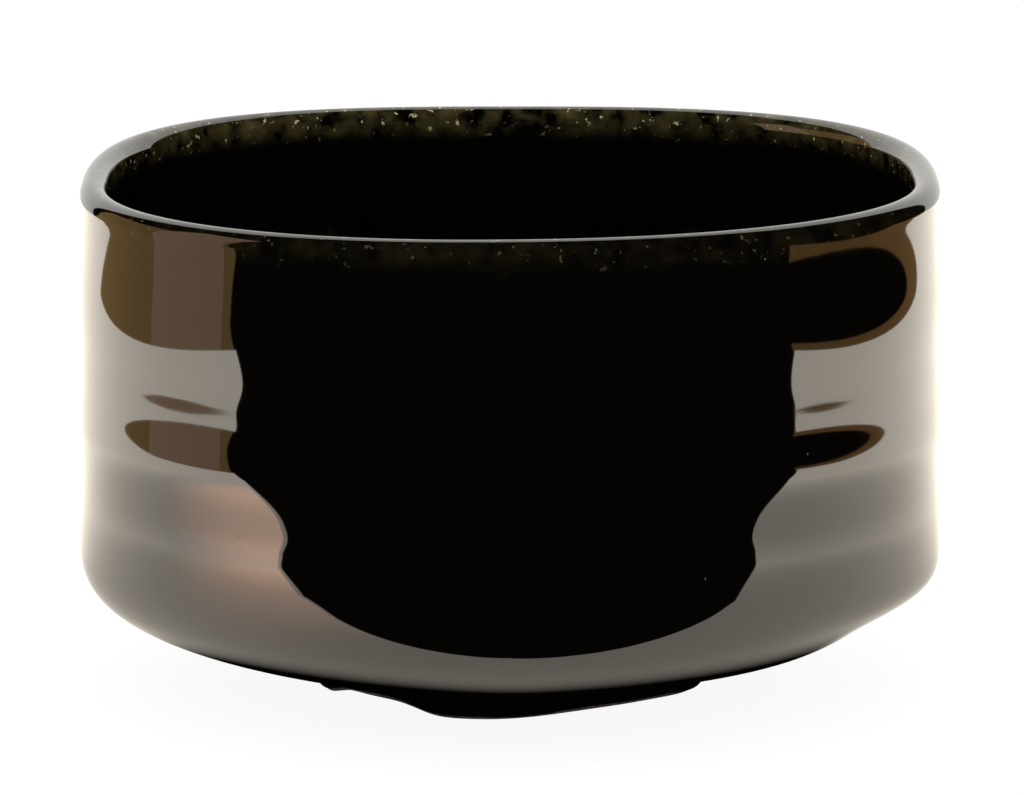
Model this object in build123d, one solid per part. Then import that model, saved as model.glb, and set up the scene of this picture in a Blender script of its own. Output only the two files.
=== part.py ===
from build123d import *
import os
from math import cos, exp, radians, sin

# A thrown and hand-shaped tea bowl, in millimetres. The origin is the centre of
# the surface it stands on, +Z is up and -Y is the side turned to the guest.

# Driving dimensions
width = 120.0                # across the walls, between the throwing ridges
height = 72.9                # from the table to the lip
wall = 4.4                   # finished wall, clay and both coats of glaze
glaze = 0.7                  # one coat
foot_width = 54.4            # across the glazed foot ring
foot_wall = 7.0              # clay of the foot ring, across its land
foot_well = 4.9              # from the table up to the glazed underside
floor_level = 10.9           # glazed floor of the inside, above the table

# The plan at the lip is a rounded square, squarer behind than in front. Low down
# it is rounder, with its corners pinched in.
lip_power = 2.5
back_power_gain = 0.3
heel_power = 1.68
lip_power_level = 42.0
heel_power_level = 10.0
ring_points = 40

# The lip rises a little at one direction and dips as much at the other
lip_sway = 0.35
rise_direction = -45.0
dip_direction = -135.0
sway_level = 40.9

# Throwing ridges that run round the outside wall
ridge_levels = (39.5, 55.7)
ridge_height = 0.42
ridge_spread = 5.6
wall_stations = 12

# The turn from wall to underside, outside and inside: flattened quarter ellipses
heel_level = 21.9
heel_powers = (3.7, 3.1)
inner_heel_level = 24.9
inner_heel_powers = (3.2, 2.8)
heel_angles = (0, 3, 8, 14, 21, 29, 38, 48, 58, 68, 77, 84)
lip_angles = (0, 20, 45, 70, 90, 110, 135, 160, 180)

# A knife facet pares the heel away on the +X side
facet_depth = 3.3
facet_level = 11.2
facet_spread = 2.7
facet_direction = -15.0
facet_turn = 24.0

# The foot: clay ring, its glaze, and the places where the knife lifted the land
foot_glaze = 0.6
land_height = 0.5            # bare clay below the edge of the glaze
land_bevel = 0.4
seat_depth = 1.0             # the ring is let into the clay of the floor and luted
# direction in degrees from +X, lift of the land, radius of the sweep of the knife
knife_lifts = ((-130.0, 1.8, 20.0), (-55.0, 1.1, 110.0))

# Worked out from the above
half_width = width / 2
lip_radius = wall / 2
lip_level = height - lip_sway - lip_radius
inner_half = half_width - wall
foot_radius = foot_width / 2
foot_clay_radius = foot_radius - foot_glaze
foot_clay_bore = foot_clay_radius - foot_wall
foot_bore = foot_clay_bore - foot_glaze
seat_level = foot_well + glaze + seat_depth


def ridges(z):
    """How far the wall stands out at height z: one soft hump at each ridge."""
    return sum(ridge_height * exp(-(((z - level) / ridge_spread) ** 2)) for level in ridge_levels)


def facet(angle, z):
    """How far the knife facet lowers the wall at one direction and height."""
    off_turn = (angle - facet_direction + 180) % 360 - 180
    fade = exp(-((off_turn / facet_turn) ** 2) - ((z - facet_level) / facet_spread) ** 2)
    return facet_depth * fade


def ease(value, low, high):
    """0 below low, 1 above high, and a smooth step between."""
    part = min(max((value - low) / (high - low), 0), 1)
    return part * part * (3 - 2 * part)


def swell(angle, direction):
    """A soft hump of height 1 on the way round, at one direction."""
    return ((1 + cos(radians(angle - direction))) / 2) ** 3


def ring(radius, z, outside):
    """One loop of the bowl, a superellipse of the given half width.

    The loops near the lip rise and fall with it. Every loop has the same even
    parameters, which keeps the loft's surface light.
    """
    squareness = ease(z, heel_power_level, lip_power_level)
    sway = lip_sway * ease(z, sway_level, lip_level)
    points = []
    for index in range(ring_points):
        angle = 360 * index / ring_points
        c, s = cos(radians(angle)), sin(radians(angle))
        power = heel_power + (lip_power + back_power_gain * s - heel_power) * squareness
        reach = radius / (abs(c) ** power + abs(s) ** power) ** (1 / power)
        reach -= facet(angle, z) if outside else 0
        lift = sway * (swell(angle, rise_direction) - swell(angle, dip_direction))
        points.append((reach * c, reach * s, z + lift))
    turns = [index / ring_points for index in range(ring_points + 1)]
    return Wire([Edge.make_spline(points, periodic=True, parameters=turns)])


def heel_point(angle, half, depth, level, powers):
    """Half width and height on a flattened quarter ellipse, 0 at its wall end."""
    across = half * cos(radians(angle)) ** (2 / powers[0])
    down = depth * sin(radians(angle)) ** (2 / powers[1])
    return across, level - down


def cup(inset):
    """The bowl without its foot, set in from the glazed surface by one distance.

    Loops run from the underside up the outside, over the lip and down inside.
    """
    outer = half_width - inset
    inner = inner_half + inset
    rings = []
    for angle in reversed(heel_angles):
        heel_depth = heel_level - foot_well - inset
        r, z = heel_point(angle, outer, heel_depth, heel_level, heel_powers)
        rings.append(ring(r, z, True))
    for step in range(1, wall_stations):
        z = heel_level + (lip_level - heel_level) * step / wall_stations
        rings.append(ring(outer + ridges(z), z, True))
    for angle in lip_angles:
        r = half_width - lip_radius + (lip_radius - inset) * cos(radians(angle))
        z = lip_level + (lip_radius - inset) * sin(radians(angle))
        rings.append(ring(r, z, angle < 90))
    for step in range(1, wall_stations):
        z = lip_level - (lip_level - inner_heel_level) * step / wall_stations
        rings.append(ring(inner, z, False))
    for angle in heel_angles:
        floor_depth = inner_heel_level - floor_level + inset
        r, z = heel_point(angle, inner, floor_depth, inner_heel_level, inner_heel_powers)
        rings.append(ring(r, z, False))
    return Solid.make_loft(rings)


def column(radius, bottom, top):
    """A plain cylinder on the bowl's axis."""
    return Pos(0, 0, bottom) * Cylinder(radius, top - bottom, align=(Align.CENTER, Align.CENTER, Align.MIN))


def knife_sweeps(above):
    """The rounded cuts that lift the foot's edge off the table, and a little above."""
    cuts = []
    for direction, lift, sweep in knife_lifts:
        roller = Rot(0, 90, 0) * Cylinder(sweep, foot_wall * 3)
        place = Rot(0, 0, direction) * Pos(foot_clay_radius - foot_wall / 2, 0, lift + above - sweep)
        cuts.append(place * roller)
    return cuts


def ring_wall(outer, bore, bottom):
    """An upright band that stands in the seat cut for the foot."""
    return column(outer, bottom, seat_level) - column(bore, bottom, seat_level)


def make_foot_ring():
    """The clay ring: a bevelled land, lifted where the knife swept under it."""
    clay = ring_wall(foot_clay_radius, foot_clay_bore, 0)
    return chamfer(clay.edges().group_by(Axis.Z)[0], land_bevel) - knife_sweeps(0)


def keep_one(shape, name):
    """The single solid that a sub-part must be."""
    solids = shape.solids()
    if len(solids) != 1:
        raise ValueError(f"{name} has {len(solids)} solids")
    return solids[0]


glazed_cup = cup(0)
clay_cup = cup(glaze)
coats = glazed_cup - clay_cup

# The roll over the lip is everything above the middle of the lip
above_lip = Pos(0, 0, lip_level) * Box(2 * width, 2 * width, height, align=(Align.CENTER, Align.CENTER, Align.MIN))
rim_coat = coats & above_lip
skins = (coats - above_lip).solids().sort_by(Axis.Z)

# The outer skin reaches lowest; the ring stands through it
outer_skin = min(skins, key=lambda solid: solid.bounding_box().min.Z)
inner_skin = max(skins, key=lambda solid: solid.bounding_box().min.Z)
outer_coat = outer_skin - column(foot_radius, 0, seat_level)
well_roof = outer_skin & column(foot_bore, 0, seat_level)
well_sleeve = ring_wall(foot_clay_bore, foot_bore, land_height) - knife_sweeps(land_height)

nodes = {
    "clay_body": clay_cup - ring_wall(foot_radius, foot_bore, 0),
    "foot_ring": make_foot_ring(),
    "outer_glaze": outer_coat,
    "rim_glaze": rim_coat,
    "inner_glaze": inner_skin,
    "foot_glaze": ring_wall(foot_radius, foot_clay_radius, land_height) - knife_sweeps(land_height),
    "foot_well_glaze": well_roof + well_sleeve,
}

os.makedirs("parts", exist_ok=True)
for name, shape in nodes.items():
    solid = keep_one(shape, name)
    export_step(solid, f"parts/{name}.step")
    print(name, round(solid.volume), "mm3")
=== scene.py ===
"""Black-glazed tea bowl: clay body, glaze coats, foot and studio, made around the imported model."""
from math import cos, pi, radians, sin

import bpy
import numpy as np
from bpy.props import FloatProperty, FloatVectorProperty, PointerProperty
from bpy.types import Operator, Panel, PropertyGroup
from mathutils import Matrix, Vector


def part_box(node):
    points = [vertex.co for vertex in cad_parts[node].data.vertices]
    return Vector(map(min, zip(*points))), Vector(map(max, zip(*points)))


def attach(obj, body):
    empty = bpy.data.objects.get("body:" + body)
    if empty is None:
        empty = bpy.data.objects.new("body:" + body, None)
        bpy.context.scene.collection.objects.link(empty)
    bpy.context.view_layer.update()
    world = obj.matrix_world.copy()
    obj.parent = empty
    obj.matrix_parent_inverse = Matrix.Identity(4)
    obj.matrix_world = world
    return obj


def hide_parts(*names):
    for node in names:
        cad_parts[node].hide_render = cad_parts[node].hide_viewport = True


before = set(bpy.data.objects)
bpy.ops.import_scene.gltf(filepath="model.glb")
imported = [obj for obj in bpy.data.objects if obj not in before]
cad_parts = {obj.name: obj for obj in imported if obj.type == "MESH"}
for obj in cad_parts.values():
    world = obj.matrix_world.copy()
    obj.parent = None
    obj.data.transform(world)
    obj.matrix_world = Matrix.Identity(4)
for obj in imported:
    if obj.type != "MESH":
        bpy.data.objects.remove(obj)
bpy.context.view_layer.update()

bl_info = {
    "name": "Tea bowl",
    "version": (1, 0, 0),
    "blender": (4, 5, 0),
    "location": "View3D > Sidebar > Tea bowl",
    "description": "Clay body, glaze coats, foot and studio of a hand-shaped black tea bowl",
    "category": "Object",
}

MM = 0.001

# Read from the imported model: the walls, the lip, the inside floor and the foot
HALF_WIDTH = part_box("rim_glaze")[1].x
LIP_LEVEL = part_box("rim_glaze")[0].z
FOOT_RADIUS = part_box("foot_glaze")[1].x
FOOT_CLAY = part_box("foot_ring")[1].x
SEAT_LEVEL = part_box("foot_ring")[1].z
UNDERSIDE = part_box("outer_glaze")[0].z
INNER_CLAY_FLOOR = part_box("inner_glaze")[0].z

# Columns round the bowl, and rows along each stretch of its section
COLUMNS = 400
OUTSIDE_ROWS = 210
LIP_ROWS = 33
INSIDE_ROWS = 190
HIDDEN_ROWS = 24

# The rows where the section goes over to the lip and leaves it again
LIP_START = OUTSIDE_ROWS - 1
LIP_END = LIP_START + LIP_ROWS - 1

# A heel is worked out in this many steps, which crowd towards its wall end
HEEL_STEPS = 1200
HEEL_CROWDING = 1.6


def linear(code):
    """A linear colour from an sRGB hex value."""
    values = np.array([int(code[i:i + 2], 16) for i in (1, 3, 5)]) / 255
    toned = np.where(values <= 0.04045, values / 12.92, ((values + 0.055) / 1.055) ** 2.4)
    return tuple(float(value) for value in toned)


def length(name, description, default):
    """A length property in metres."""
    return FloatProperty(name=name, description=description, default=default, unit="LENGTH",
                         subtype="DISTANCE", precision=5)


def colour(name, description, code):
    """A colour property with an sRGB hex default."""
    return FloatVectorProperty(name=name, description=description, default=linear(code),
                               subtype="COLOR", min=0, max=1)


class TeaBowlSizes(PropertyGroup):
    """Sizes of the bowl's own shape that a maker would change."""

    wall: length("Wall", "Thickness of the finished wall", 4.4 * MM)
    glaze: length("Glaze", "Thickness of one coat", 0.7 * MM)
    foot_wall: length("Foot wall", "Clay of the foot ring, across its land", 7 * MM)
    heel: length("Heel", "Height where the wall begins to turn under", 21.1 * MM)
    inner_heel: length("Inner heel", "Height where the inside turns into the floor", 24.9 * MM)
    lip_sway: length("Lip sway", "How far the lip rises and dips", 0.35 * MM)
    facet: length("Facet", "Depth of the knife facet at the heel", 3 * MM)
    groove: length("Groove", "Depth of the finger groove under the front", 0.35 * MM)
    pool: length("Tea pool", "Depth of the hollow in the middle of the floor", 0.5 * MM)
    waver: length("Waver", "How far the hand let the wall waver on its way round", 0.06 * MM)


class TeaBowlColours(PropertyGroup):
    """Colours of the bowl's finishes."""

    glaze: colour("Glaze", "Black iron glaze where the coat is thick", "#050403")
    thin_glaze: colour("Thin glaze", "Where the coat runs thin over an edge", "#4a4226")
    crystal: colour("Crystals", "Pale specks in the thin glaze", "#b9b48a")
    clay: colour("Clay", "Bare fired clay of the foot's land", "#43362c")
    clay_speck: colour("Clay specks", "Iron specks in the bare clay", "#17110e")


def sizes():
    """The sizes in use."""
    return bpy.context.scene.tea_bowl_sizes


def ease(value, low, high):
    """0 below low, 1 above high, and a smooth step between."""
    part = np.clip((value - low) / (high - low), 0, 1)
    return part * part * (3 - 2 * part)


def bell(value, centre, spread):
    """A Gaussian hump of height 1."""
    return np.exp(-((value - centre) / spread) ** 2)


def swell(angle, direction):
    """A soft hump of height 1 on the way round, at one direction in degrees."""
    return ((1 + np.cos(angle - radians(direction))) / 2) ** 3


def off_turn(angle, direction):
    """Degrees from one direction, the short way round."""
    return (np.degrees(angle) - direction + 180) % 360 - 180


def directions():
    """The directions of the columns, one full turn."""
    return np.linspace(0, 2 * pi, COLUMNS, endpoint=False)[None, :]


def even_line(radius, level, count):
    """The same line with its points spaced evenly by length."""
    run = np.concatenate([[0], np.cumsum(np.hypot(np.diff(radius), np.diff(level)))])
    stations = np.linspace(0, run[-1], count)
    return np.interp(stations, run, radius), np.interp(stations, run, level)


def heel_line(half, depth, level, powers):
    """A flattened quarter ellipse from its wall end inwards to the axis.

    Half width goes as cos to the power 2/p, and drop as sin to the power 2/q.
    """
    turn = np.linspace(0, 1, HEEL_STEPS) ** HEEL_CROWDING * pi / 2
    return half * np.cos(turn) ** (2 / powers[0]), level - depth * np.sin(turn) ** (2 / powers[1])


# Most values down to HEEL_POWERS are rounded from one least-squares fit. The back's
# values, and the levels 29 and 27 where the changes meet, were set.

# Squareness of the plan at the heel, the waist and the lip, and where it changes
PLAN_POWERS = (1.74, 2.13, 2.52)
HEEL_CHANGE = (13.4 * MM, 29 * MM)
LIP_CHANGE = (27 * MM, 39.4 * MM)
BACK_POWER = 0.3
BACK_CHANGE = (8.9 * MM, 48.9 * MM)

# Level of each crest and hollow of the throwing ridges, and how far it stands out,
# then a fine thread between two of them: its level, its height and its spread
WALL_TURNS = ((18.8, 0.23), (32.7, 0.17), (39.5, 0.32), (47.7, 0.06), (55.5, 0.23), (69.2, -0.32))
THREAD = (47.0, 0.085, 2.3)

# How flat the two turns are, across and down
HEEL_POWERS = (3.97, 2.92)
INNER_HEEL_POWERS = (3.2, 2.8)

# The lip rises at one direction and dips at the other, both in degrees from +X
RISE_DIRECTION = -45
DIP_DIRECTION = -135
SWAY_LEVEL = 40.9 * MM

# Direction and spread in degrees, then level and spread, of the knife facet at the
# heel and of the finger groove under the front
FACET = (-15, 24, 10.7 * MM, 3.1 * MM)
GROOVE = (-62, 28, 7.2 * MM, 1.1 * MM)

# How far the spirals left by a finger stand out, and the pitch of their turns
FLOOR_SPIRAL = (0.05 * MM, 5.5 * MM)
WELL_SPIRAL = (0.12 * MM, 3.6 * MM)


def dent(angle, level, direction, turn, centre, spread):
    """A soft hollow of depth 1 at one direction and level: a Gaussian each way."""
    return bell(off_turn(angle, direction), 0, turn) * bell(level, centre, spread)


def spiral_wave(angle, radius, stand, pitch):
    """The wave of a one-armed spiral: its stand times the cosine of turns out minus turns round."""
    return stand * np.cos(2 * pi * radius / pitch - angle)


def plan_reach(angle, level):
    """Reach of a superellipse of half width 1: (|cos|^p + |sin|^p)^(-1/p), p by level."""
    heel, waist, lip = PLAN_POWERS
    power = heel + (waist - heel) * ease(level, *HEEL_CHANGE) + (lip - waist) * ease(level, *LIP_CHANGE)
    power = power + BACK_POWER * np.sin(angle) * ease(level, *BACK_CHANGE)
    return (np.abs(np.cos(angle)) ** power + np.abs(np.sin(angle)) ** power) ** (-1 / power)


def ridges(level):
    """How far the wall stands out: smooth steps from each crest to the next hollow."""
    thread_level, thread_height, thread_spread = THREAD
    stand = thread_height * MM * bell(level, thread_level * MM, thread_spread * MM)
    stand = stand + WALL_TURNS[0][1] * MM
    for (low, before), (high, after) in zip(WALL_TURNS, WALL_TURNS[1:]):
        stand = stand + (after - before) * MM * ease(level, low * MM, high * MM)
    return stand


def outside_relief(angle, level):
    """Ridges out, the knife facet in, and the slow waver of a wall shaped by hand.

    The waver is two sine waves, 3 and 7 to the turn, that lean as they climb. It is
    set in by 1.2, so that it hardly stands past the ridges, and it fades at both ends.
    """
    size = sizes()
    facet = size.facet * dent(angle, level, *FACET)
    waver = np.sin(3 * angle + level / (11 * MM)) + 0.6 * np.sin(7 * angle - level / (7 * MM) + 1)
    upper = ease(level, 12 * MM, 30 * MM) * (1 - ease(level, 60 * MM, 70 * MM))
    return ridges(level) - facet + size.waver * (waver - 1.2) * upper


def under_groove(angle, level):
    """How far a finger pressed the underside up at the front right."""
    return sizes().groove * dent(angle, level, *GROOVE)


def floor_relief(angle, radius):
    """How far the inside floor sinks: a round tea pool and the spiral left by a finger."""
    pool = -sizes().pool * (1 - ease(radius, 10 * MM, 16 * MM))
    spiral = spiral_wave(angle, radius, *FLOOR_SPIRAL)
    return pool + spiral * ease(radius, 2 * MM, 8 * MM) * (1 - ease(radius, 40 * MM, 52 * MM))


def bowl_section():
    """Half width and height along the glazed surface, from the underside's pole to the floor's.

    Three stretches: from the middle of the underside out and up the wall, over the
    round lip, and down inside to the middle of the floor.
    """
    size = sizes()
    radius, level = heel_line(HALF_WIDTH, size.heel - UNDERSIDE, size.heel, HEEL_POWERS)
    radius, level = np.append(radius[::-1], HALF_WIDTH), np.append(level[::-1], LIP_LEVEL)
    outside = even_line(radius, level, OUTSIDE_ROWS)
    tube = size.wall / 2
    turn = np.linspace(0, pi, LIP_ROWS)
    lip = (HALF_WIDTH - tube + tube * np.cos(turn), LIP_LEVEL + tube * np.sin(turn))
    half = HALF_WIDTH - size.wall
    floor = INNER_CLAY_FLOOR + size.glaze
    radius, level = heel_line(half, size.inner_heel - floor, size.inner_heel, INNER_HEEL_POWERS)
    inside = even_line(np.insert(radius, 0, half), np.insert(level, 0, LIP_LEVEL), INSIDE_ROWS)
    return [np.concatenate([first, second[1:], third[1:]])[:, None]
            for first, second, third in zip(outside, lip, inside)]


def glazed_surface():
    """The glazed surface of the whole cup as one grid, with its outward normals.

    A row is one loop of the plan at the section's half width and height. Outside,
    the relief is added along the reach; the lip's sway lifts the upper loops.
    """
    radius, level = bowl_section()
    row = np.arange(radius.size)[:, None]
    outside = 1 - ease(row, LIP_START, LIP_END)
    inside = ease(row, LIP_END, LIP_END + 8)
    angle = directions()
    middle = ease(radius, 0, FOOT_RADIUS)
    reach = radius * plan_reach(angle, level) + outside_relief(angle, level) * outside * middle
    sway = sizes().lip_sway * ease(level, SWAY_LEVEL, LIP_LEVEL)
    height = level + sway * (swell(angle, RISE_DIRECTION) - swell(angle, DIP_DIRECTION))
    height = height + under_groove(angle, level) * outside * middle
    height = height + floor_relief(angle, radius) * inside
    points = np.stack([reach * np.cos(angle), reach * np.sin(angle), height], axis=-1)
    points[0] = points[0].mean(axis=0)
    points[-1] = points[-1].mean(axis=0)
    return points, grid_normals(points)


def grid_normals(points):
    """Outward normals of a grid whose columns run to the left and rows run up outside."""
    around = np.roll(points, -1, axis=1) - np.roll(points, 1, axis=1)
    normals = np.cross(around, np.gradient(points, axis=0))
    size = np.linalg.norm(normals, axis=-1, keepdims=True)
    normals = normals / np.maximum(size, 1e-15)
    for pole, neighbour in ((0, 1), (-1, -2)):
        if size[pole].max() < 1e-12:
            normals[pole] = normals[neighbour].mean(axis=0)
    return normals


def make_piece(name, points, normals, replaced, slot, material, thin=0.0):
    """A closed piece from a grid of loops, wrapped round its section.

    A loop that has shrunk to one point becomes a single pole vertex. thin says, for
    each point, how far the glaze has run thin there, from 0 to 1.
    """
    rows = points.shape[0]
    row = np.arange(rows)[:, None]
    column = np.arange(COLUMNS)[None, :]
    index = row * COLUMNS + column
    pole = np.ptp(points, axis=1).max(axis=-1) < 1e-9
    index[pole] = (row * COLUMNS)[pole]
    up = np.roll(index, -1, axis=0)
    quads = np.stack([index, np.roll(index, -1, axis=1), np.roll(up, -1, axis=1), up], axis=-1)
    both = pole & np.roll(pole, -1)
    quads = quads[~both].reshape(-1, 4)
    bottom = quads[:, 0] == quads[:, 1]
    top = quads[:, 2] == quads[:, 3]
    faces = quads[~bottom & ~top].tolist()
    faces += quads[bottom][:, [0, 2, 3]].tolist() + quads[top][:, :3].tolist()
    used = np.unique(index)
    fresh = np.zeros(rows * COLUMNS, dtype=int)
    fresh[used] = np.arange(used.size)
    mesh = bpy.data.meshes.new(name)
    mesh.from_pydata(points.reshape(-1, 3)[used].tolist(), [], [fresh[face].tolist() for face in faces])
    mesh.polygons.foreach_set("use_smooth", np.ones(len(mesh.polygons), dtype=bool))
    mesh.normals_split_custom_set_from_vertices(normals.reshape(-1, 3)[used].tolist())
    thinness = np.broadcast_to(thin, points.shape[:2]).reshape(-1)[used].astype(np.float32)
    mesh.attributes.new("thin", "FLOAT", "POINT").data.foreach_set("value", thinness)
    piece = bpy.data.objects.new(name, mesh)
    bpy.context.collection.objects.link(piece)
    mesh.materials.append(material)
    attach(piece, "root")
    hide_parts(replaced)
    return piece


def coat(points, normals, thickness):
    """A closed coat: the surface's loops, then a thinner set of loops behind them."""
    behind = np.unique(np.linspace(0, points.shape[0] - 1, HIDDEN_ROWS).astype(int))[::-1]
    back = points[behind] - normals[behind] * thickness
    return np.concatenate([points, back]), np.concatenate([normals, -normals[behind]])


def node(tree, kind, links=None, sockets=None, **settings):
    """Add a node with its settings, socket values and links."""
    made = tree.nodes.new(kind)
    for key, value in settings.items():
        setattr(made, key, value)
    for key, value in (sockets or {}).items():
        made.inputs[key].default_value = value
    for key, source in (links or {}).items():
        tree.links.new(source, made.inputs[key])
    return made


def new_material(name):
    """An empty node material and its tree."""
    material = bpy.data.materials.new(name)
    material.use_nodes = True
    material.node_tree.nodes.clear()
    return material, material.node_tree


def glaze_bump(tree, place):
    """Orange peel of a melted coat and a few pinholes, as one normal."""
    peel = node(tree, "ShaderNodeTexNoise", {"Vector": place}, {"Scale": 1 / (8 * MM), "Detail": 1.0})
    soft = node(tree, "ShaderNodeBump", {"Height": peel.outputs["Fac"]},
                {"Strength": 0.3, "Distance": 0.02 * MM})
    cells = node(tree, "ShaderNodeTexVoronoi", {"Vector": place}, {"Scale": 1 / (6 * MM)})
    hole = node(tree, "ShaderNodeMapRange", {"Value": cells.outputs["Distance"]},
                {"From Min": 0.015, "From Max": 0.035})
    return node(tree, "ShaderNodeBump", {"Height": hole.outputs["Result"], "Normal": soft.outputs["Normal"]},
                {"Strength": 0.6, "Distance": 0.06 * MM}).outputs["Normal"]


def iron_glaze(name, roughness, ior):
    """Black iron glaze, poured on and melted flat, so it mirrors like dark glass.

    Where it ran thin it breaks to a cloudy, speckled olive brown, and small pale
    crystals show along the edge.
    """
    material, tree = new_material(name)
    colours = bpy.context.scene.tea_bowl_colours
    place = node(tree, "ShaderNodeTexCoord").outputs["Object"]
    thin = node(tree, "ShaderNodeAttribute", attribute_name="thin").outputs["Fac"]
    cloud = node(tree, "ShaderNodeTexNoise", {"Vector": place}, {"Scale": 1 / (3 * MM), "Detail": 5.0})
    patch = node(tree, "ShaderNodeMapRange", {"Value": cloud.outputs["Fac"]},
                 {"From Min": 0.38, "From Max": 0.68})
    amount = node(tree, "ShaderNodeMath", {0: thin, 1: patch.outputs["Result"]}, operation="MULTIPLY")
    tint = node(tree, "ShaderNodeMix", {"Factor": amount.outputs["Value"]}, data_type="RGBA")
    tint.inputs[6].default_value = (*colours.glaze, 1)
    tint.inputs[7].default_value = (*colours.thin_glaze, 1)
    grain = node(tree, "ShaderNodeTexNoise", {"Vector": place}, {"Scale": 1 / (0.9 * MM), "Detail": 2.0})
    speck = node(tree, "ShaderNodeMapRange", {"Value": grain.outputs["Fac"]},
                 {"From Min": 0.66, "From Max": 0.72})
    shown = node(tree, "ShaderNodeMath", {0: thin, 1: speck.outputs["Result"]}, operation="MULTIPLY")
    dotted = node(tree, "ShaderNodeMix", {"Factor": shown.outputs["Value"], 6: tint.outputs[2]},
                  data_type="RGBA")
    dotted.inputs[7].default_value = (*colours.crystal, 1)
    shader = node(tree, "ShaderNodeBsdfPrincipled",
                  {"Base Color": dotted.outputs[2], "Normal": glaze_bump(tree, place)},
                  {"Roughness": roughness, "IOR": ior})
    node(tree, "ShaderNodeOutputMaterial", {"Surface": shader.outputs["BSDF"]})
    return material


def black_glaze():
    """The coat of the outside and the foot: thick, still and glassy."""
    return iron_glaze("black_iron_glaze", 0.035, 1.95)


def lip_glaze():
    """The coat over the lip, stretched thin by the edge."""
    return iron_glaze("lip_iron_glaze", 0.045, 1.95)


def inner_glaze():
    """The coat of the inside, a little duller than outside and a weaker mirror."""
    return iron_glaze("inner_iron_glaze", 0.06, 1.6)


def bare_clay():
    """Iron-rich stoneware, fired bare: dark, matt, with grog and iron specks."""
    material, tree = new_material("bare_stoneware")
    colours = bpy.context.scene.tea_bowl_colours
    place = node(tree, "ShaderNodeTexCoord").outputs["Object"]
    grain = node(tree, "ShaderNodeTexNoise", {"Vector": place}, {"Scale": 1 / (0.7 * MM), "Detail": 6.0})
    spread = node(tree, "ShaderNodeMapRange", {"Value": grain.outputs["Fac"]},
                  {"From Min": 0.35, "From Max": 0.62})
    tint = node(tree, "ShaderNodeMix", {"Factor": spread.outputs["Result"]}, data_type="RGBA")
    tint.inputs[6].default_value = (*colours.clay_speck, 1)
    tint.inputs[7].default_value = (*colours.clay, 1)
    bump = node(tree, "ShaderNodeBump", {"Height": grain.outputs["Fac"]},
                {"Strength": 0.7, "Distance": 0.12 * MM})
    shader = node(tree, "ShaderNodeBsdfPrincipled",
                  {"Base Color": tint.outputs[2], "Normal": bump.outputs["Normal"]}, {"Roughness": 0.8})
    node(tree, "ShaderNodeOutputMaterial", {"Surface": shader.outputs["BSDF"]})
    return material


def shared(make):
    """The material that a function makes, made once and then used by every piece of it."""
    name = {black_glaze: "black_iron_glaze", bare_clay: "bare_stoneware"}[make]
    return bpy.data.materials.get(name) or make()


class TEABOWL_OT_clay_body(Operator):
    """Make the clay body that the coats of glaze lie on"""

    bl_idname = "teabowl.clay_body"
    bl_label = "Clay body"

    def execute(self, context):
        points, normals = glazed_surface()
        thickness = sizes().glaze
        last = points.shape[0] - 1
        rows = np.r_[0:LIP_START:6, LIP_START:LIP_END:3, LIP_END:last:6, last]
        body = points[rows] - normals[rows] * thickness
        make_piece("clay_body_wall", body, normals[rows], "clay_body", "stoneware", shared(bare_clay))
        return {"FINISHED"}


class TEABOWL_OT_cup_glaze(Operator):
    """Make the glaze coats of the outside, the lip and the inside"""

    bl_idname = "teabowl.cup_glaze"
    bl_label = "Cup glaze"

    def execute(self, context):
        points, normals = glazed_surface()
        thickness = sizes().glaze
        reach = np.hypot(points[:LIP_START, 0, 0], points[:LIP_START, 0, 1])
        joint = int(np.searchsorted(reach, FOOT_RADIUS - thickness / 2))
        floor_row = points.shape[0] - 1
        parts = (("outer_glaze_coat", joint, LIP_START, "outer_glaze", "black_glaze", shared(black_glaze)),
                 ("rim_glaze_roll", LIP_START, LIP_END, "rim_glaze", "rim_glaze", lip_glaze()),
                 ("inner_glaze_coat", LIP_END, floor_row, "inner_glaze", "inner_glaze", inner_glaze()))
        for name, first, last, replaced, slot, material in parts:
            rows = slice(first, last + 1)
            shell, shell_normals = coat(points[rows], normals[rows], thickness)
            make_piece(name, shell, shell_normals, replaced, slot, material, self.thinness(shell))
        return {"FINISHED"}

    def thinness(self, points):
        """Thin over the inner edge of the lip and a little way down inside, barely outside."""
        reach = np.hypot(points[..., 0], points[..., 1]) / plan_reach(directions(), points[..., 2])
        crest = HALF_WIDTH - sizes().wall / 2
        inside = 1 - ease(reach, crest - 0.4 * MM, crest + 0.6 * MM)
        return (0.12 + 0.88 * inside) * ease(points[..., 2], LIP_LEVEL - 2.6 * MM, LIP_LEVEL + 0.4 * MM)


# Where the knife lifted the land: direction, lift, half width in degrees, and how flat its top is
KNIFE_LIFTS = ((-137, 1.65 * MM, 20, 4), (-54, 1.1 * MM, 30, 2.6))

# The glaze ends this far above the land, and the lift dies out at the second level
GLAZE_EDGE = 0.5 * MM
LIFT_END = 2.2 * MM
WELL_ROOF_LOOPS = 40


def knife_lift(angle):
    """How far the foot's edge is lifted: flat-topped humps, exp(-|turn / half width|^flatness)."""
    lift = 0
    for direction, rise, half, flatness in KNIFE_LIFTS:
        lift = lift + rise * np.exp(-np.abs(off_turn(angle, direction) / half) ** flatness)
    return lift


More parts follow.
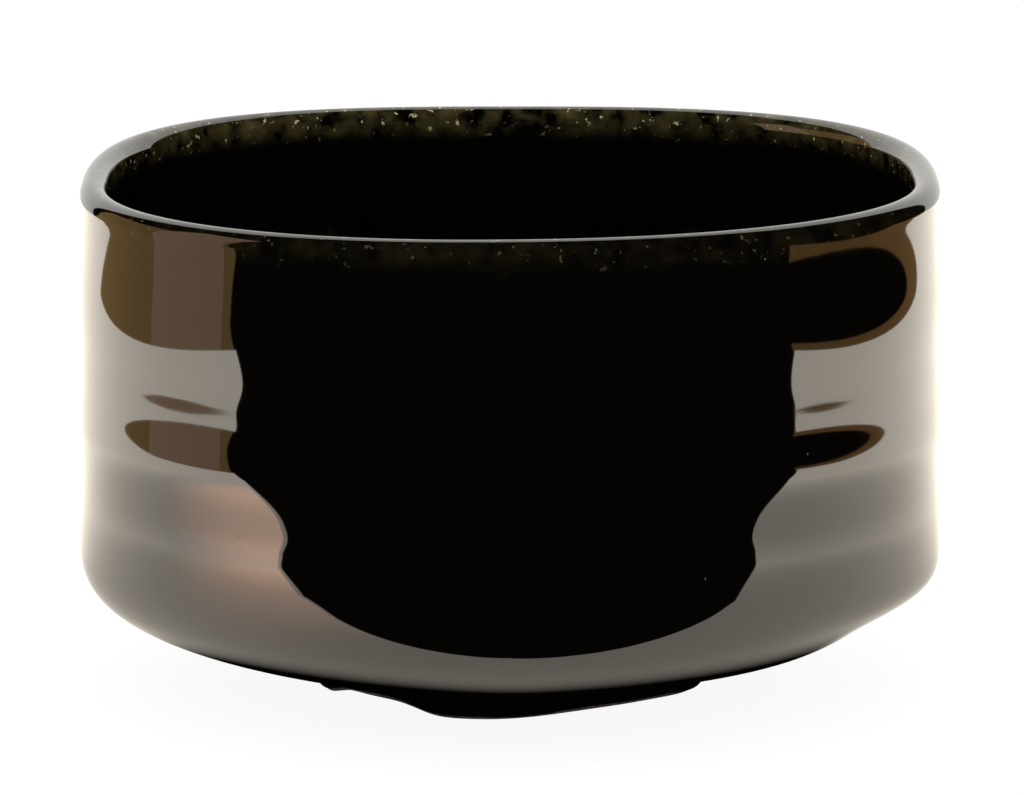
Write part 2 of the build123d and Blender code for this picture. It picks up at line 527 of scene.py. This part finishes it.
def ring_grid(line, edge_waver=0.0):
    """Loops of a turned ring and their normals, from points of (radius, level, share).

    share is how much of the knife's lift a point follows, and with it the slow waver
    of the glaze's edge: two sine waves, 5 and 11 to the turn. Nothing goes below its level.
    """
    radius, level, share = (np.array(values)[:, None] for values in zip(*line))
    angle = directions()
    waver = edge_waver * (np.sin(5 * angle) + 0.7 * np.sin(11 * angle + 2))
    height = level + np.maximum(share * (knife_lift(angle) + waver), 0)
    points = np.stack([radius * np.cos(angle), radius * np.sin(angle), height], axis=-1)
    return points, ring_normals(points)


def ring_normals(points):
    """Outward normals of a ring that closes round its section."""
    around = np.roll(points, -1, axis=1) - np.roll(points, 1, axis=1)
    along = np.roll(points, -1, axis=0) - np.roll(points, 1, axis=0)
    normals = np.cross(around, along)
    return normals / np.maximum(np.linalg.norm(normals, axis=-1, keepdims=True), 1e-15)


def arc_line(centre, radius, start, end, share, count=7):
    """Points on an arc of the section, from one angle to another in degrees."""
    turn = np.radians(np.linspace(start, end, count))
    return [(centre[0] + radius * cos(a), centre[1] + radius * sin(a), share) for a in turn]


class TEABOWL_OT_foot(Operator):
    """Make the clay foot ring, the glaze outside it and the glaze in its well"""

    bl_idname = "teabowl.foot"
    bl_label = "Foot ring and its glaze"

    def execute(self, context):
        bore = FOOT_CLAY - sizes().foot_wall
        self.clay_ring(bore)
        self.outside_glaze()
        self.well_glaze(bore)
        return {"FINISHED"}

    def clay_ring(self, bore):
        """The ring of bare clay, its land rounded at both edges."""
        edge = 0.6 * MM
        line = arc_line((bore + edge, edge), edge, 180, 270, 1)
        line += arc_line((FOOT_CLAY - edge, edge), edge, 270, 360, 1)
        line += [(FOOT_CLAY, SEAT_LEVEL, 0), (bore, SEAT_LEVEL, 0)]
        make_piece("foot_ring_clay", *ring_grid(line), "foot_ring", "stoneware", shared(bare_clay))

    def outside_glaze(self):
        """A band of glaze that ends in a rounded bead just above the land."""
        bead = (FOOT_RADIUS - FOOT_CLAY) / 2
        middle = FOOT_CLAY + bead
        line = arc_line((middle, GLAZE_EDGE + bead), bead, 180, 360, 1, 11)
        line += [(FOOT_RADIUS, LIFT_END, 0.5), (FOOT_RADIUS, UNDERSIDE - 0.6 * MM, 0)]
        line += [(FOOT_RADIUS, UNDERSIDE + 0.2 * MM, 0), (FOOT_RADIUS - 0.1 * MM, SEAT_LEVEL, 0),
                 (FOOT_CLAY, SEAT_LEVEL, 0)]
        points, normals = ring_grid(line, 0.08 * MM)
        make_piece("foot_glaze_band", points, normals, "foot_glaze", "black_glaze", shared(black_glaze))

    def well_glaze(self, bore):
        """The glaze of the well: down the ring's bore, a rounded corner, and across the roof."""
        thickness = sizes().glaze
        inner = bore - thickness
        corner = 1.2 * MM
        roof = UNDERSIDE + 0.35 * MM
        line = [(0.0, roof + thickness, 0), (bore, roof + thickness, 0)]
        bead = thickness / 2
        line += [(bore, 2.5 * MM, 0.5)]
        line += arc_line((bore - bead, GLAZE_EDGE + bead), bead, 360, 180, 1, 9)
        line += [(inner, LIFT_END, 0.4)]
        line += arc_line((inner - corner, roof - corner), corner, 0, 90, 0, 7)
        line += [(r, roof, 0) for r in np.linspace(inner - corner - 0.5 * MM, 0, WELL_ROOF_LOOPS)]
        points, _ = ring_grid(line[::-1])
        reach = np.hypot(points[..., 0], points[..., 1])
        spiral = spiral_wave(directions(), reach, *WELL_SPIRAL) * ease(reach, 1 * MM, 5 * MM)
        on_roof = np.arange(points.shape[0])[:, None] < WELL_ROOF_LOOPS
        points[..., 2] += np.where(on_roof, spiral * (1 - ease(reach, inner - 5 * MM, inner - 2 * MM)), 0)
        normals = ring_normals(points)
        normals[0] = (0, 0, -1)
        normals[-1] = (0, 0, 1)
        make_piece("foot_well_glaze_coat", points, normals, "foot_well_glaze", "black_glaze",
                   shared(black_glaze))


def card(name, corners, code, strength, shadow_fade=()):
    """A flat glowing card that only reflections see, with its corners in millimetres.

    shadow_fade paints the bowl's contact shadow into the glow: smooth steps in strength with the
    distance from the bowl's middle, the share that each adds, and the distances between which it grows.
    """
    mesh = bpy.data.meshes.new(name)
    mesh.from_pydata([Vector(corner) * MM for corner in corners], [], [list(range(len(corners)))])
    board = bpy.data.objects.new(name, mesh)
    bpy.context.collection.objects.link(board)
    board.visible_camera = False
    board.visible_diffuse = False
    board.visible_shadow = False
    board.visible_transmission = False
    material, tree = new_material(name)
    glow = node(tree, "ShaderNodeEmission", None, {"Color": (*linear(code), 1), "Strength": strength})
    total = None
    # Painted shadow: the glow is dark under the bowl and grows outwards
    for share, near, far in shadow_fade:
        place = node(tree, "ShaderNodeTexCoord").outputs["Object"]
        run = node(tree, "ShaderNodeVectorMath", {0: place}, operation="LENGTH")
        grow = node(tree, "ShaderNodeMapRange", {"Value": run.outputs["Value"]},
                    {"From Min": near * MM, "From Max": far * MM, "To Min": 0, "To Max": share * strength},
                    interpolation_type="SMOOTHSTEP").outputs["Result"]
        total = node(tree, "ShaderNodeMath", {0: total, 1: grow}).outputs["Value"] if total else grow
    if total:
        tree.links.new(total, glow.inputs["Strength"])
    node(tree, "ShaderNodeOutputMaterial", {"Surface": glow.outputs["Emission"]})
    mesh.materials.append(material)
    return board


def warm_glow(name, corners, centre, reach, code, strength):
    """A soft round patch of warm light just over the table, which adds to what it covers."""
    x, y = centre
    board = card(name, corners, code, strength)
    tree = board.data.materials[0].node_tree
    place = node(tree, "ShaderNodeTexCoord").outputs["Object"]
    offset = node(tree, "ShaderNodeVectorMath", {0: place}, operation="SUBTRACT")
    offset.inputs[1].default_value = (x * MM, y * MM, 1 * MM)
    run = node(tree, "ShaderNodeVectorMath", {0: offset.outputs["Vector"]}, operation="LENGTH")
    fall = node(tree, "ShaderNodeMapRange", {"Value": run.outputs["Value"]},
                {"From Min": 0, "From Max": reach * MM, "To Min": strength, "To Max": 0},
                interpolation_type="SMOOTHSTEP")
    glow = tree.nodes["Emission"]
    tree.links.new(fall.outputs["Result"], glow.inputs["Strength"])
    clear = node(tree, "ShaderNodeBsdfTransparent")
    both = node(tree, "ShaderNodeAddShader", {0: glow.outputs["Emission"], 1: clear.outputs["BSDF"]})
    tree.links.new(both.outputs["Shader"], tree.nodes["Material Output"].inputs["Surface"])


class TEABOWL_OT_stage(Operator):
    """Make the floor, the studio cards, the light and the camera"""

    bl_idname = "teabowl.stage"
    bl_label = "Studio"

    def execute(self, context):
        scene = bpy.context.scene
        scene.view_settings.view_transform = "Standard"
        self.floor()
        self.cards()
        self.world(scene)
        self.camera(scene)
        return {"FINISHED"}

    def floor(self):
        """A wide floor that glows nearly white and takes a faint contact shadow."""
        half = 6
        mesh = bpy.data.meshes.new("floor")
        mesh.from_pydata([(-half, -half, 0), (half, -half, 0), (half, half, 0), (-half, half, 0)], [],
                         [(0, 1, 2, 3)])
        floor = bpy.data.objects.new("floor", mesh)
        bpy.context.collection.objects.link(floor)
        floor.visible_glossy = False
        material, tree = new_material("pale_floor")
        glow = node(tree, "ShaderNodeEmission", None, {"Color": (1, 1, 1, 1), "Strength": 0.92})
        matt = node(tree, "ShaderNodeBsdfDiffuse", None, {"Color": (0.14, 0.14, 0.14, 1)})
        both = node(tree, "ShaderNodeAddShader", {0: glow.outputs["Emission"], 1: matt.outputs["BSDF"]})
        node(tree, "ShaderNodeOutputMaterial", {"Surface": both.outputs["Shader"]})
        mesh.materials.append(material)

    def cards(self):
        """The table top, a backdrop behind it, and the brown room that lies beyond both ends.

        The table's front edge and its two ends began as a fit and were then moved.
        """
        left, right, back = -350, 371, 420
        low, high = -10, 900
        far_left = -1500
        # The table's glow has the bowl's contact shadow painted in: black within 42 mm of the middle, full
        # past 185 mm
        card("table_card", [(-60, -69, 0), (0, -75, 0), (60, -60, 0), (180, -108, 0), (right, -170, 0),
                            (right, back, 0), (left, back, 0), (left, -190, 0), (-180, -124, 0)],
             "#f6ecdd", 2.45, ((0.4, 42, 58), (0.6, 66, 185)))
        warm_glow("warm_glow_card", [(-34, -70, 1), (-34, 0, 1), (-170, 0, 1), (-170, -117, 1),
                                     (-60, -67, 1)], (-88, -76), 60, "#e3a888", 2.6)
        card("backdrop_card", [(left, back, 0), (right, back, 0), (right, back, high), (left, back, high)],
             "#f8f6f0", 1.05)
        card("room_left_card", [(left, -190, low), (left, back, low), (far_left, 1700, low),
                                (far_left, -600, low)], "#8d7048", 2.0)
        card("room_left_wall", [(far_left, -600, low), (far_left, 1700, low), (far_left, 1700, high),
                                (far_left, -600, high)], "#8d7048", 1.8)
        card("chair_card", [(-380, -165, low), (-380, 33, low), (-380, 33, 420), (-380, -165, 420)],
             "#a98c72", 1.9)
        card("room_right_card", [(right, -170, low), (right, back, low), (505, 560, low), (505, -232, low)],
             "#8d6a40", 1.6)

    def world(self, scene):
        """White to the camera and the floor, and nearly black to reflections."""
        world = bpy.data.worlds.new("studio")
        scene.world = world
        world.use_nodes = True
        tree = world.node_tree
        tree.nodes.clear()
        path = node(tree, "ShaderNodeLightPath")
        bright = node(tree, "ShaderNodeBackground", None, {"Color": (1, 1, 1, 1), "Strength": 1.0})
        dim = node(tree, "ShaderNodeBackground", None, {"Color": (*linear("#060403"), 1), "Strength": 1.0})
        mix = node(tree, "ShaderNodeMixShader", {0: path.outputs["Is Glossy Ray"],
                                                 1: bright.outputs["Background"],
                                                 2: dim.outputs["Background"]})
        node(tree, "ShaderNodeOutputWorld", {"Surface": mix.outputs["Shader"]})

    def camera(self, scene):
        """A long lens that looks down a little on the lip, aimed just above the bowl's middle."""
        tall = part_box("rim_glaze")[1].z
        aim = Vector((0.28 * MM, 0, tall / 2 + 3.9 * MM))
        rise = radians(10.7)
        distance = 1.25
        camera = bpy.data.objects.new("camera", bpy.data.cameras.new("camera"))
        bpy.context.collection.objects.link(camera)
        camera.location = aim + Vector((0, -cos(rise), sin(rise))) * distance
        camera.rotation_euler = (pi / 2 - rise, 0, 0)
        camera.data.sensor_width = 36
        field = 143.2 * MM
        camera.data.lens = camera.data.sensor_width * distance / field
        camera.data.clip_start = 0.05
        scene.camera = camera


class TEABOWL_PT_panel(Panel):
    """Lists the operators in the sidebar"""

    bl_idname = "TEABOWL_PT_panel"
    bl_label = "Tea bowl"
    bl_space_type = "VIEW_3D"
    bl_region_type = "UI"
    bl_category = "Tea bowl"

    def draw(self, context):
        for step in STEPS:
            self.layout.operator(step.bl_idname)


STEPS = (TEABOWL_OT_clay_body, TEABOWL_OT_cup_glaze, TEABOWL_OT_foot, TEABOWL_OT_stage)
CLASSES = (TeaBowlSizes, TeaBowlColours, *STEPS, TEABOWL_PT_panel)


def register():
    for item in CLASSES:
        bpy.utils.register_class(item)
    bpy.types.Scene.tea_bowl_sizes = PointerProperty(type=TeaBowlSizes)
    bpy.types.Scene.tea_bowl_colours = PointerProperty(type=TeaBowlColours)


def unregister():
    del bpy.types.Scene.tea_bowl_sizes
    del bpy.types.Scene.tea_bowl_colours
    for item in reversed(CLASSES):
        bpy.utils.unregister_class(item)


def main():
    """Make every piece in turn."""
    register()
    bpy.ops.teabowl.clay_body()
    bpy.ops.teabowl.cup_glaze()
    bpy.ops.teabowl.foot()
    bpy.ops.teabowl.stage()


if __name__ == "__main__":
    main()
